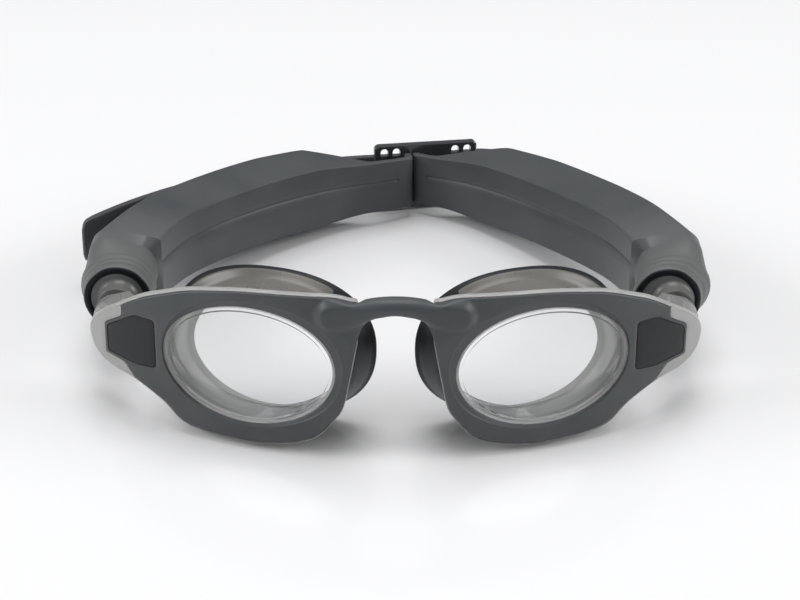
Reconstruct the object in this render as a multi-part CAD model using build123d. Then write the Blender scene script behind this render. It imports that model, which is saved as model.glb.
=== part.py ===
"""Swimming goggles: two clear eyecups under a soft one-piece frame, silicone face seals,
ball studs at the temples and a padded two-piece head strap that meets in a slotted buckle.

The goggles are laid out with the window centres at z = 0, the front surface on an upright
cylinder that touches y = 0 at the nose, and the strap loop running back along +Y. Left is -X.
At the end everything is set down the way the goggles stand on a table.
"""
from build123d import *
from math import asin, atan2, copysign, cos, degrees, radians, sin, sqrt
import os

# ---- front, eyecups and seals ---------------------------------------------------------------
FRAME_WIDTH = 163.0       # over the two temple tips
FACE_RADIUS = 130.0       # wrap of the front surface, seen from above
LENS_SPACING = 76.0       # between the window centres
WINDOW_WIDTH = 45.2
WINDOW_HEIGHT = 32.8
FRAME_SKIN = 3.0          # depth of the soft frame over the eyecup flange
FLANGE_SKIN = 1.8         # depth of the clear flange behind it
RIM_WIDTH = 1.4           # clear bead round the window
RIM_SETBACK = 0.8         # bead behind the frame's front surface
PANE_SETBACK = 2.0        # pane behind the frame's front surface
PANE_SKIN = 2.0
CUP_WALL = 1.6
CUP_MARGIN = 2.4          # cup's outer wall outside the window, at the front
CUP_DEPTH = 16.0
CUP_TAPER = 0.8           # how much each half axis shrinks over the cup's depth
SEAL_SLEEVE = 1.0         # thickness of the seal over the cup wall
SEAL_DEPTH = 20.5
SEAL_WIDTH = 56.8         # over the flared rim
SEAL_TOP = 19.8           # rim's top edge above the window centres
SEAL_BOTTOM = 21.6        # rim's bottom edge below them
SEAL_LIP = 1.5            # thickness at the flared rim
RIM_POWER = 0.88          # squareness of the rim: 1 is an ellipse
BRIDGE_HEIGHT = 19.4      # centre of the nose bridge above the window centres
BRIDGE_THICKNESS = 4.9

# ---- temples --------------------------------------------------------------------------------
TIP_EDGE = 4.4            # width of the clear edge left bare at the temple tip
RETURN_DEPTH = 10.0       # wall behind the temple tip, front to back
RETURN_WALL = 2.0
TEMPLE_HALF_HEIGHT = 9.0  # of the temple, at the inlay
INLAY_INSET = 5.2         # inlay's outer side inboard of the temple tip
INLAY_SKIN = 1.2
INLAY_CLEARANCE = 0.1
STUD_INSET = 6.0          # ball centres inboard of the temple tips
STUD_HEIGHT = 2.0         # ball centres above the window centres
BALL_RADIUS = 6.2
NECK_RADIUS = 4.9
BALL_BEHIND_RETURN = 7.0  # ball centre behind the rear edge of the temple wall
SOCKET_CLEARANCE = 0.3

# ---- strap ----------------------------------------------------------------------------------
HOOD_RADIUS = 9.4
HOOD_LENGTH = 12.0
COLLAR_THICKNESS = 1.6
COLLAR_AHEAD = 2.2        # front of the collar ahead of the ball centre
STRAP_HEIGHT = 19.2       # inner face, at the temple
STRAP_END_HEIGHT = 16.2   # inner face, at the buckle
STRAP_DEPTH = 18.6        # thickness of the pad at the temple
PAD_DEPTH = 13.6          # thickness of the pad along the side of the head
STRAP_END_DEPTH = 2.2     # thickness of the flat end
STRAP_INSET = 14.75       # inner face inboard of the temple tip, at the temple
LOOP_DEPTH = 138.0        # nose to the middle of the buckle

# ---- buckle and strap ends ------------------------------------------------------------------
BUCKLE_WIDTH = 32.4
BUCKLE_HEIGHT = 21.2
BUCKLE_SKIN = 2.4
BUCKLE_YAW = 10.0         # turn seen from above
BUCKLE_OFFSET = 8.9       # centre to the right of the nose
BUCKLE_CORNER = 1.6
SLOT_WIDTH = 2.4
SLOT_HEIGHT = 19.0
SLOT_PLACES = (9.3, 13.1)  # slot centres either side of the buckle's centre
BAND_END_SHORT = 4.0      # end of each padded strap short of its turn into the buckle
SLOT_WALL = 0.8           # between the threading slot and the slot beside it
THREAD_CLEARANCE = 0.25
BAND_STANDOFFS = {"left": 3.2, "right": 0.6}  # each strap's end clear of the buckle's front
TAIL_RADIUS = 119.0       # curve of the free ends, seen from above
TAIL_LENGTHS = {"left": 100.6, "right": 7.0}
TAIL_ANGLES = {"left": 9.5, "right": 2.0}   # direction in which each end leaves the buckle
TAIL_HEIGHT = 12.4        # the strap narrows to its threaded end
TAIL_CENTRE = 1.0         # middle of the threaded ends above the window centres
TAIL_TIP = 3.0            # corner radius at the free end
TAIL_STANDOFF = 0.6       # free end clear of the buckle
TAIL_GAP = 0.3            # between the threaded part and the free end

SIDES = {"left": -1, "right": 1}
BAND_CLOSING = 26.0       # angle at which a strap runs in towards the buckle
PAD_ENDS = {"left": 0.91, "right": 0.97}     # share of the strap where its pad has run out
BAND_VIA = {"left": ((0.11, 0.32), (0.38, 0.63), (0.71, 0.87)),
            "right": ((0.12, 0.30), (0.46, 0.66), (0.78, 0.90))}  # shares of the strap's run
BIG = 200.0
HALF_WIDTH = FRAME_WIDTH / 2
EYE_X = LENS_SPACING / 2
HALF_A = WINDOW_WIDTH / 2
HALF_B = WINDOW_HEIGHT / 2
EYE_ANGLE = asin(EYE_X / FACE_RADIUS)
FLANGE_BACK = FRAME_SKIN + FLANGE_SKIN
STUD_X = HALF_WIDTH - STUD_INSET
THREAD_SLOT_WIDTH = 2 * STRAP_END_DEPTH + 4 * THREAD_CLEARANCE
THREAD_SLOT_PLACE = (THREAD_SLOT_WIDTH + SLOT_WIDTH) / 2 + SLOT_WALL - min(SLOT_PLACES)


def face_y(x, depth=0.0):
    """Y of the surface that lies at a depth behind the wrapped front, at a given x."""
    return FACE_RADIUS - sqrt((FACE_RADIUS - depth) ** 2 - x ** 2)


RETURN_REAR = face_y(HALF_WIDTH) + RETURN_DEPTH
BALL_Y = RETURN_REAR + BALL_BEHIND_RETURN
COLLAR_FRONT = BALL_Y - COLLAR_AHEAD
HOOD_FRONT = COLLAR_FRONT + COLLAR_THICKNESS
BAND_START = HOOD_FRONT + HOOD_LENGTH


def mirrored(solid, side):
    return solid if side == "right" else mirror(solid, about=Plane.YZ)


def inside(depth):
    """Everything deeper than a depth behind the wrapped front."""
    return Pos(0, FACE_RADIUS, 0) * Cylinder(FACE_RADIUS - depth, BIG)


def prism(outline):
    """An outline in the XZ plane run through the whole front, front to back."""
    return extrude(Plane.XZ.offset(10) * outline, amount=-BIG / 2)


def shell(outline, front, back):
    """The slice of an outline's prism between two depths."""
    return (prism(outline) & inside(front)) - inside(back)


def eye_plane(depth):
    """Plane across the right eyecup, square to the wrapped surface at the window centre."""
    reach = FACE_RADIUS - depth
    origin = (reach * sin(EYE_ANGLE), FACE_RADIUS - reach * cos(EYE_ANGLE), 0)
    return Plane(origin, x_dir=(cos(EYE_ANGLE), sin(EYE_ANGLE), 0),
                 z_dir=(sin(EYE_ANGLE), -cos(EYE_ANGLE), 0))


def oval(depth, half_a, half_b):
    return eye_plane(depth) * Ellipse(half_a, half_b)


def window(margin):
    """The window's oval in the XZ plane, grown by a margin."""
    return Pos(EYE_X, 0) * Ellipse(HALF_A + margin, HALF_B + margin)


def front_outline():
    """Outline of one half of the front, nose to temple tip."""
    tip = HALF_WIDTH
    nose = EYE_X - HALF_A
    outer = EYE_X + HALF_A
    reach = tip - outer
    top = HALF_B
    bottom = -HALF_B
    points = [
        (nose - 6.7, top - 4.2), (nose - 5.0, top + 2.6), (nose + 1.4, top + 4.7),
        (EYE_X, top + 4.3), (outer - 6.5, top + 3.0), (outer + 0.2, top + 0.7),
        (outer + 0.38 * reach, 12.9), (outer + 0.59 * reach, 9.6), (tip - 3.8, 6.0),
        (tip - 0.7, 2.4), (tip, -1.4), (tip - 1.9, -6.0), (outer + 0.71 * reach, -8.8),
        (outer + 0.42 * reach, -10.6), (outer + 0.7, bottom + 1.4), (outer - 5.6, bottom - 3.9),
        (EYE_X + 5.0, bottom - 5.5), (EYE_X - 5.0, bottom - 5.5), (nose + 5.9, bottom - 2.7),
        (nose - 0.9, bottom + 4.8), (nose - 4.6, bottom + 12.0), (nose - 6.2, 4.0),
    ]
    return make_face(Spline(*points, periodic=True))


def tip_edge():
    """Region of the outline beyond the soft frame, where the clear temple edge is bare."""
    start = HALF_WIDTH - TIP_EDGE - 5.9
    bow = ThreePointArc((start, 11.5), (HALF_WIDTH - TIP_EDGE, -0.6), (start - 1.6, -12.5))
    return make_face(bow + Polyline(bow @ 1, (HALF_WIDTH + 5, -20), (HALF_WIDTH + 5, 20), bow @ 0))


def soft_outline():
    """The front's outline without the clear edge at the temple tip."""
    return front_outline() - tip_edge()


def inlay_outline(clearance=0.0):
    """Six-sided temple inlay, just inboard of the tip."""
    outer = HALF_WIDTH - INLAY_INSET
    inner = EYE_X + HALF_A + 2.3
    waist = (inner * 0.6 + outer * 0.4)
    points = [(outer, 3.2), (waist, 8.5), (inner, 8.2), (inner, -5.8), (waist, -6.1), (outer, -4.6)]
    hexagon = make_face(Polyline(*points, close=True))
    hexagon = fillet(hexagon.vertices(), radius=1.0)
    return offset(hexagon, clearance) if clearance else hexagon


def make_bridge():
    """Round nose bridge over a curved arch that runs into both halves."""
    root = EYE_X - HALF_A - 1.5
    depth = FRAME_SKIN / 2
    centre = Spline((-root, depth + 0.4, BRIDGE_HEIGHT - 1.0), (0, depth + 0.9, BRIDGE_HEIGHT),
                    (root, depth + 0.4, BRIDGE_HEIGHT - 1.0))
    bar = sweep(Plane(centre @ 0, z_dir=centre % 0) * Circle(BRIDGE_THICKNESS / 2), path=centre)
    low = BRIDGE_HEIGHT - BRIDGE_THICKNESS / 2
    foot = (root - 4.3, low - 6.6)
    arch = Spline((-foot[0], foot[1]), (-5.8, low - 1.2), (0, low + 0.4), (5.8, low - 1.2), foot)
    web = make_face(arch + Polyline(arch @ 1, (root, foot[1]), (root, BRIDGE_HEIGHT),
                                    (-root, BRIDGE_HEIGHT), (-root, foot[1]), arch @ 0))
    return bar + shell(web, 0.2, FRAME_SKIN)


def make_frame():
    """Soft frame: both halves over the eyecup flanges, joined by the nose bridge."""
    half = shell(soft_outline(), 0, FRAME_SKIN) - prism(window(0))
    half -= shell(inlay_outline(INLAY_CLEARANCE), -1, INLAY_SKIN + INLAY_CLEARANCE)
    flange = prism(front_outline()) & inside(FRAME_SKIN)
    bridge = make_bridge() - flange - mirror(flange, about=Plane.YZ)
    return half + mirror(half, about=Plane.YZ) + bridge


def cup_half_axes(depth):
    """Outer half axes of the cup wall at a depth."""
    shrink = CUP_TAPER * depth / CUP_DEPTH
    return HALF_A + CUP_MARGIN - shrink, HALF_B + CUP_MARGIN - shrink


def cup_body():
    """The cup's outer form, closed, from the flange to its rear edge."""
    return loft([oval(1, *cup_half_axes(1)), oval(CUP_DEPTH, *cup_half_axes(CUP_DEPTH))])


def cup_hollow():
    """The room inside the cup, run a little past its rear edge."""
    rear = CUP_DEPTH + 0.5
    sections = [oval(d, *(h - CUP_WALL for h in cup_half_axes(d))) for d in (1, rear)]
    return loft(sections) & inside(PANE_SETBACK + PANE_SKIN)


def return_wall():
    """Wall that turns back round the temple tip and shields the stud."""
    outline = front_outline()
    middle = EYE_X + HALF_A
    shrink = (1 - RETURN_WALL / (HALF_WIDTH - middle), 1 - RETURN_WALL / TEMPLE_HALF_HEIGHT, 1)
    hollow = Pos(middle, 0) * scale(Pos(-middle, 0) * outline, by=shrink)
    ring = prism(outline) - prism(hollow)
    root = middle + 5.0
    shoulder = (HALF_WIDTH - 4.0, RETURN_REAR - 2.5)
    keep = make_face(Polyline((root, 0), (root, face_y(root, FRAME_SKIN)), shoulder,
                              (HALF_WIDTH, RETURN_REAR), (HALF_WIDTH + 5, RETURN_REAR),
                              (HALF_WIDTH + 5, 0), close=True))
    return ring & inside(FRAME_SKIN) & extrude(keep, amount=BIG / 2, both=True)


def make_lens(side):
    """Clear eyecup in one moulding: pane, bead, flange, cup wall, temple edge and wall."""
    full = front_outline()
    lens = shell(full, FRAME_SKIN, FLANGE_BACK)
    lens += shell(full & tip_edge(), RIM_SETBACK, FRAME_SKIN)
    lens += shell(window(-0.1), RIM_SETBACK, FRAME_SKIN + 0.1)
    lens += cup_body() & inside(FRAME_SKIN)
    lens -= shell(window(-RIM_WIDTH), -1, PANE_SETBACK)
    lens -= cup_hollow()
    lens += return_wall()
    return mirrored(lens, side)


def seal_rim(depth, inset=0.0):
    """Rim of the seal at a depth: a squarish oval that reaches lower than it reaches up."""
    points = []
    for turn in range(0, 360, 30):
        across, up = cos(radians(turn)), sin(radians(turn))
        tall = SEAL_TOP if up > 0 else SEAL_BOTTOM
        points.append(((SEAL_WIDTH / 2 - inset) * copysign(abs(across) ** RIM_POWER, across),
                       (tall - inset) * copysign(abs(up) ** RIM_POWER, up)))
    return eye_plane(depth) * make_face(Spline(*points, periodic=True))


def make_gasket(side):
    """Silicone face seal: a sleeve over the whole cup wall that flares to a soft rim."""
    sleeve = [[h + SEAL_SLEEVE for h in cup_half_axes(depth)] for depth in (1, CUP_DEPTH)]
    body = loft([oval(1, *sleeve[0]), oval(CUP_DEPTH, *sleeve[1])], ruled=True)
    body += loft([oval(CUP_DEPTH, *sleeve[1]), seal_rim(SEAL_DEPTH)], ruled=True)
    throat = [h - CUP_WALL for h in cup_half_axes(CUP_DEPTH)]
    body -= loft([oval(CUP_DEPTH - 0.1, *throat), seal_rim(SEAL_DEPTH + 0.1, SEAL_LIP)], ruled=True)
    body -= cup_body()
    return mirrored(body & inside(FLANGE_BACK), side)


def make_inlay(side):
    return mirrored(shell(inlay_outline(), 0, INLAY_SKIN), side)


def make_stud(side):
    """Arm behind the temple tip that ends in a ball."""
    neck = BALL_Y - 3.6
    profile = make_face(Polyline((0, RETURN_REAR - 14), (NECK_RADIUS + 0.9, RETURN_REAR - 14),
                                 (NECK_RADIUS + 0.9, RETURN_REAR - 3), (NECK_RADIUS, neck),
                                 (NECK_RADIUS, BALL_Y), (0, BALL_Y), close=True))
    arm = revolve(profile, axis=Axis.Y) + Pos(0, BALL_Y, 0) * Sphere(BALL_RADIUS)
    arm = Pos(STUD_X, 0, STUD_HEIGHT) * arm
    return mirrored((arm & inside(FLANGE_BACK)) - return_wall(), side)


def socket():
    return Pos(STUD_X, BALL_Y, STUD_HEIGHT) * Sphere(BALL_RADIUS + SOCKET_CLEARANCE)


def make_collar(side):
    """Dark ring round the mouth of the hood."""
    inner = BALL_RADIUS - 0.6
    ring = make_face(Polyline((inner, COLLAR_FRONT), (HOOD_RADIUS, COLLAR_FRONT),
                              (HOOD_RADIUS, HOOD_FRONT), (inner, HOOD_FRONT), close=True))
    outer_corner = ring.vertices().sort_by(Axis.X)[-2:]
    ring = chamfer(outer_corner, length=COLLAR_THICKNESS * 0.3)
    collar = Pos(STUD_X, 0, STUD_HEIGHT) * revolve(ring, axis=Axis.Y)
    return mirrored(collar - socket(), side)


def band_path(side):
    """Inner face of one strap seen from above, on the +X side, temple to buckle."""
    start = Vector(HALF_WIDTH - STRAP_INSET, BAND_START)
    end = band_end(side)
    run = end - start
    via = [Vector(start.X + fx * run.X, start.Y + fy * run.Y) for fx, fy in BAND_VIA[side]]
    return Spline(start, *via, end, tangents=[(0, 1), (-cos(radians(BAND_CLOSING)),
                                                       sin(radians(BAND_CLOSING)))])


def make_hood():
    """Bell-shaped socket with stepped rings, over the stud's ball."""
    r = HOOD_RADIUS
    step = HOOD_LENGTH / 3
    profile = [(0, HOOD_FRONT), (r - 0.4, HOOD_FRONT), (r, HOOD_FRONT + 0.8), (r, HOOD_FRONT + step),
               (r - 0.5, HOOD_FRONT + step + 0.4), (r - 0.2, HOOD_FRONT + 2 * step),
               (r - 0.7, HOOD_FRONT + 2 * step + 0.4), (r - 0.5, BAND_START + 2), (0, BAND_START + 2)]
    bell = revolve(make_face(Polyline(*profile, close=True)), axis=Axis.Y)
    return (Pos(STUD_X, 0, STUD_HEIGHT) * bell) - socket()


def band_section(path, place, depth, height, rise, corner):
    """Section of the padded strap: upright inner face, top that slopes up to the outer face."""
    tangent = path % place
    plane = Plane(path @ place + Vector(0, 0, STUD_HEIGHT),
                  x_dir=(tangent.Y, -tangent.X, 0), z_dir=(-tangent.X, -tangent.Y, 0))
    corners = [(0, -height / 2), (depth, -height / 2), (depth, height / 2 + rise), (0, height / 2)]
    face = make_face(Polyline(*corners, close=True))
    return plane * fillet(face.vertices(), radius=corner)


def make_strap(side):
    """Hood and padded band in one silicone moulding."""
    path = band_path(side)
    flat = PAD_ENDS[side]
    sections = [band_section(path, 0.0, STRAP_DEPTH, STRAP_HEIGHT, 1.0, 3.5),
                band_section(path, 0.2, PAD_DEPTH + 0.8, STRAP_HEIGHT, 3.6, 2.5),
                band_section(path, 0.45, PAD_DEPTH, STRAP_HEIGHT, 3.9, 2.0),
                band_section(path, flat - 0.16, PAD_DEPTH - 1.4, STRAP_HEIGHT - 0.6, 2.9, 1.6),
                band_section(path, flat, STRAP_END_DEPTH, STRAP_END_HEIGHT, 0.3, 0.9),
                band_section(path, 1.0, STRAP_END_DEPTH, STRAP_END_HEIGHT, 0.0, 0.9)]
    band = loft(sections[:4]) + loft(sections[3:5], ruled=True) + loft(sections[4:])
    return mirrored(make_hood() + band, side)


def buckle_plane():
    """Mid plane of the buckle: x along it to the right, y up."""
    yaw = radians(BUCKLE_YAW)
    return Plane((BUCKLE_OFFSET, LOOP_DEPTH, STUD_HEIGHT),
                 x_dir=(cos(yaw), sin(yaw), 0), z_dir=(sin(yaw), -cos(yaw), 0))


def buckle_point(along, behind):
    """Point in plan, by its place along the buckle and behind its mid plane."""
    spot = buckle_plane().from_local_coords(Vector(along, 0, -behind))
    return Vector(spot.X, spot.Y)


def make_buckle():
    """Flat slotted plate: two tall slots each side and one hidden slot for the strap ends."""
    plate = RectangleRounded(BUCKLE_WIDTH, BUCKLE_HEIGHT, BUCKLE_CORNER)
    for place in SLOT_PLACES:
        for sign in SIDES.values():
            plate -= Pos(sign * place, 0) * SlotOverall(SLOT_HEIGHT, SLOT_WIDTH, rotation=90)
    thread = RectangleRounded(THREAD_SLOT_WIDTH, TAIL_HEIGHT + 4 * THREAD_CLEARANCE, 0.5)
    plate -= Pos(THREAD_SLOT_PLACE, TAIL_CENTRE - STUD_HEIGHT) * thread
    body = extrude(buckle_plane() * plate, amount=BUCKLE_SKIN / 2, both=True)
    rim = body.edges().group_by(Axis.Z)[-1] + body.edges().group_by(Axis.Z)[0]
    return chamfer(rim, length=0.4)


def thread_place(side):
    """Where a strap end crosses the buckle: the right one beside the left one."""
    return THREAD_SLOT_PLACE + SIDES[side] * (STRAP_END_DEPTH / 2 + THREAD_CLEARANCE)


def clear_of_buckle(standoff=TAIL_STANDOFF):
    """Middle of a strap end that lies a standoff away from the buckle's face."""
    return BUCKLE_SKIN / 2 + STRAP_END_DEPTH / 2 + standoff


def knee(side):
    """Where a strap turns back into the buckle, in plan."""
    return buckle_point(thread_place(side), -clear_of_buckle(BAND_STANDOFFS[side]))


def band_end(side):
    """End of the inner face of a strap, on the +X side: where the threaded end takes over."""
    closing = radians(BAND_CLOSING)
    corner = Vector(SIDES[side] * knee(side).X, knee(side).Y)
    along = Vector(cos(closing), -sin(closing)) * BAND_END_SHORT
    return corner + along + Vector(-sin(closing), -cos(closing)) * (STRAP_END_DEPTH / 2)


def tail_start(side):
    """Centre of a free end as it leaves the buckle's edge, in plan."""
    return buckle_point(SIDES[side] * (BUCKLE_WIDTH / 2 + 1.5), clear_of_buckle() + 0.4)


def tail_arc(side):
    """Curve of a free end: it leaves the buckle and bends towards the temple."""
    sign = SIDES[side]
    start = tail_start(side)
    angle = radians(TAIL_ANGLES[side])
    centre = start + Vector(-sign * sin(angle), -cos(angle)) * TAIL_RADIUS
    first = 90 - degrees(angle) if sign > 0 else 90 + degrees(angle)
    sweep_angle = -sign * degrees(TAIL_LENGTHS[side] / TAIL_RADIUS)
    return centre, CenterArc(centre, TAIL_RADIUS, first, sweep_angle)


def upright(line, height, middle):
    """A strap of the flat end's thickness that follows a plan line, stood up about a level."""
    return extrude(Pos(0, 0, middle - height / 2) * trace(line, STRAP_END_DEPTH), amount=height)


def make_tail(side):
    """Free strap end outside the buckle, with rounded corners."""
    _, arc = tail_arc(side)
    strip = upright(arc, TAIL_HEIGHT, TAIL_CENTRE)
    tip = strip.faces().sort_by_distance(arc @ 1)[0]
    corners = tip.edges().group_by(Axis.Z)
    return fillet(corners[0] + corners[-1], radius=TAIL_TIP)


def beyond(point, direction, width=BIG):
    """Everything past a plan point, looking along a plan direction."""
    block = Box(BIG, width, BIG, align=(Align.MIN, Align.CENTER, Align.CENTER))
    return Plane(point, x_dir=direction, z_dir=(0, 0, 1)) * block


def make_fold(side):
    """Threaded end: from the strap, through the buckle and out to the free end."""
    sign = SIDES[side]
    path = band_path(side)
    tangent = path % 1
    middle = path @ 1 + Vector(tangent.Y, -tangent.X) * (STRAP_END_DEPTH / 2)
    enter = Vector(sign * middle.X, middle.Y)
    knee_out = buckle_point(thread_place(side), clear_of_buckle())
    _, arc = tail_arc(side)
    lead = arc @ 0 + (arc % 0) * 3
    line = FilletPolyline(enter, knee(side), knee_out, arc @ 0, lead,
                          radius=STRAP_END_DEPTH / 2 + 0.05)
    front_of_plate = buckle_point(0, -BUCKLE_SKIN / 2 - TAIL_GAP)
    out_of_plate = front_of_plate - buckle_point(0, 0)
    fold = upright(line, STRAP_END_HEIGHT, STUD_HEIGHT) & beyond(front_of_plate, out_of_plate)
    fold += upright(line, TAIL_HEIGHT, TAIL_CENTRE)
    fold = fold & beyond(arc @ 0 - (arc % 0) * TAIL_GAP, (arc % 0) * -1)
    towards = Vector(sign * -tangent.X, -tangent.Y)
    return fold - beyond(enter, towards, 3 * STRAP_END_DEPTH)


def standing_tilt():
    """Angle by which the strap drops to the rear once seals and buckle both touch the table."""
    rim = seal_rim(SEAL_DEPTH).bounding_box()
    buckle_end = buckle_point(BUCKLE_WIDTH / 2 - BUCKLE_CORNER, BUCKLE_SKIN / 2).Y
    buckle_low = STUD_HEIGHT - BUCKLE_HEIGHT / 2
    return degrees(atan2(buckle_low - rim.min.Z, buckle_end - rim.center().Y))


def build():
    """All pieces by node name, in the layout frame."""
    pieces = {"frame_overmould": make_frame(), "rear_buckle": make_buckle()}
    makers = {"lens": make_lens, "gasket": make_gasket, "temple_inlay": make_inlay,
              "temple_stud": make_stud, "hood_collar": make_collar, "strap": make_strap,
              "strap_fold": make_fold, "strap_tail": make_tail}
    for side in SIDES:
        for name, maker in makers.items():
            pieces[f"{name}_{side}"] = maker(side)
    return pieces


def standing_place(pieces):
    """Move that stands the goggles on z = 0 with the origin under the middle of their box."""
    tilt = Rot(-standing_tilt(), 0, 0)
    box = Compound([tilt * piece for piece in pieces.values()]).bounding_box()
    return Pos(-box.center().X, -box.center().Y, -box.min.Z) * tilt


PIECES = build()
PLACE = standing_place(PIECES)

os.makedirs("parts", exist_ok=True)
for node, piece in PIECES.items():
    export_step(PLACE * piece, f"parts/{node}.step")
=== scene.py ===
"""Looks of the swimming goggles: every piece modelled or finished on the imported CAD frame.

Sizes are millimetres in the layout frame of the CAD source, with the window centres at z = 0
and the front on an upright cylinder; standing() sets points down in the row frame.
"""

from math import asin, copysign, cos, hypot, pi, radians, sin, sqrt

import bmesh
import bpy
import numpy as np
from bpy.props import FloatProperty, PointerProperty
from bpy.types import Operator, Panel, PropertyGroup
from mathutils import Matrix, Vector
from mathutils.geometry import delaunay_2d_cdt


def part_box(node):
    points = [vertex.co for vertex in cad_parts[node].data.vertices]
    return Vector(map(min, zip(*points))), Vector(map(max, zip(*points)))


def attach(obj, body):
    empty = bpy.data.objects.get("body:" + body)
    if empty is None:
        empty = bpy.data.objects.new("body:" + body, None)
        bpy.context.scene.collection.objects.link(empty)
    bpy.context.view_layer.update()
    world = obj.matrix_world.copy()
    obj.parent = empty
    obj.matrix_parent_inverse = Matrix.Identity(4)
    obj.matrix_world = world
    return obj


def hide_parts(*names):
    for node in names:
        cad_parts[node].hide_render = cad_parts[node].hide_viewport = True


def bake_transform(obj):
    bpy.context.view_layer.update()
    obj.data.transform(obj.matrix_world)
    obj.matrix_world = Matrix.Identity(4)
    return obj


bl_info = {
    "name": "Swimming goggles",
    "version": (1, 0, 0),
    "blender": (4, 5, 0),
    "location": "3D View > Sidebar > Goggles",
    "description": "Models and finishes the swimming goggles on their CAD frame",
    "category": "Object",
}

MM = 0.001
SIDES = {"left": -1, "right": 1}
UP = Vector((0, 0, 1))
CAMERA_PLACE = Vector((0.417, -465.353, 234.995))

# Right half of the front's outline in (x, z), from the middle of the bridge's top round the
# temple tip to the middle of its underside.
OUTLINE = (
    (0.0, 22.2), (5.2, 21.9), (10.3, 20.9), (15.5, 21.8), (24.0, 21.7), (38.0, 21.2),
    (47.0, 20.1), (54.1, 18.7), (60.8, 16.3), (66.0, 14.0), (71.6, 10.4), (77.7, 6.0),
    (80.8, 2.4), (81.4, -1.4), (79.6, -6.0), (75.4, -8.8), (69.3, -10.6), (61.3, -15.0),
    (55.0, -20.2), (43.0, -21.9), (33.0, -21.9), (21.4, -19.1), (15.0, -12.4), (13.0, -8.5),
    (11.9, -3.0), (10.8, 2.5), (9.9, 7.8), (9.0, 12.2), (7.9, 14.6), (5.7, 16.1), (2.5, 17.1),
    (0.0, 17.4),
)

# Where each strap's inner face passes, as shares of its run from the temple to the buckle.
STRAP_VIA = {
    "left": ((0.11, 0.32), (0.38, 0.63), (0.71, 0.87)),
    "right": ((0.12, 0.30), (0.46, 0.66), (0.78, 0.90)),
}

# Along each strap: share of its length, pad thickness, rise of the top facet, corner radius.
STRAP_STATIONS = {
    "left": ((0.0, 20.8, 1.2, 5.0), (0.07, 18.9, 1.8, 4.4), (0.16, 15.7, 3.4, 2.6),
             (0.35, 13.4, 3.9, 1.8), (0.6, 13.2, 3.6, 1.5), (0.745, 12.4, 2.9, 1.2),
             (0.76, 11.6, 2.7, 1.2), (0.91, 2.3, 0.3, 0.8), (1.0, 2.2, 0.0, 0.7)),
    "right": ((0.0, 20.8, 1.2, 5.0), (0.06, 19.0, 1.8, 4.4), (0.15, 15.5, 3.4, 2.6),
              (0.35, 13.9, 3.9, 1.8), (0.6, 13.5, 3.6, 1.5), (0.78, 12.4, 2.9, 1.2),
              (0.8, 11.8, 2.7, 1.2), (0.97, 2.4, 0.3, 0.8), (1.0, 2.2, 0.0, 0.7)),
}

RIM_POWER = 0.88          # squareness of the seal's rim: 1 is an ellipse
BUCKLE_STANDOFF = {"left": 3.2, "right": 0.6}   # each strap's turn ahead of the buckle
THREAD_MIDDLE = -4.6      # where the two ends cross the buckle, along it
THREAD_APART = 1.35       # each end beside that place
CLOSING = radians(26.0)   # angle at which a strap runs in towards the buckle
LEAD = 12.0               # straight lead before and after a strap's curve
TAIL_STANDOFF = 0.6       # free end clear of the buckle
TAIL_ANGLE = {"left": 9.5, "right": 2.0}        # direction in which each end leaves the buckle
TAIL_REACH = {"left": 101.2, "right": 7.0}
MOUTH_SHIFT = {"left": 0.3, "right": -1.6}      # hood's mouth beside its stud
BLEND_ENDS = {"left": (0.0, -8.0), "right": (12.0, 24.0)}   # x of two points on the buckle's line that make_strap_end returns with each end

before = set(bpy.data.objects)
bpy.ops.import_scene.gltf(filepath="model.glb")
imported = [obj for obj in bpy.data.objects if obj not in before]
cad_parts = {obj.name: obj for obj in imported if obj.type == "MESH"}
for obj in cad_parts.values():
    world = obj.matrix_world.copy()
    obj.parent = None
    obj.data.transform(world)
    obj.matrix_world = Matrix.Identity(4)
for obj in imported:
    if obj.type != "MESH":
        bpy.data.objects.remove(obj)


# ---- sizes ----------------------------------------------------------------------------------
def length(name, description, default):
    return FloatProperty(name=name, description=description, default=default * MM, min=0.0,
                         unit="LENGTH", subtype="DISTANCE")


class GogglesFrontSizes(PropertyGroup):
    """Sizes of the front, the eyecups and the seals."""
    face_radius: length("Face radius", "Wrap of the front seen from above", 130.0)
    eye_spacing: length("Eye spacing", "Between the window centres", 76.0)
    window_width: length("Window width", "Opening of the soft frame", 45.2)
    window_height: length("Window height", "Opening of the soft frame", 32.8)
    skin: length("Skin", "Depth of the soft frame over the flange", 3.0)
    flange: length("Flange", "Depth of the clear flange behind the soft frame", 1.8)
    plate: length("Plate", "Depth of the soft frame at its edges", 1.05)
    rim_end: length("Rim end", "Rear of the clear rim at its edge", 2.65)
    edge: length("Edge", "Rounding of the soft frame's edges", 0.5)
    bare_edge: length("Bare edge", "Clear rim left showing round the soft frame", 0.35)
    ring: length("Ring", "Width of the dished ring over the window", 2.1)
    bridge: length("Bridge", "Depth of the nose bridge", 4.9)
    boss: length("Boss", "How far the bridge and its roots stand out", 2.1)
    cup_margin: length("Cup margin", "Cup's outer wall outside the window", 2.4)
    cup_depth: length("Cup depth", "Front surface to the cup's rear edge", 16.0)
    cup_taper: length("Cup taper", "How much the cup narrows over its depth", 0.8)
    lean_in: length("Lean in", "Cup's rear edge towards the nose", 1.9)
    lean_down: length("Lean down", "Cup's rear edge downwards", 1.5)
    seal_depth: length("Seal depth", "Front surface to the seal's rim", 20.5)
    seal_width: length("Seal width", "Over the flared rim", 56.8)
    seal_top: length("Seal top", "Rim above the window centres", 19.8)
    seal_bottom: length("Seal bottom", "Rim below the window centres", 21.6)


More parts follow.
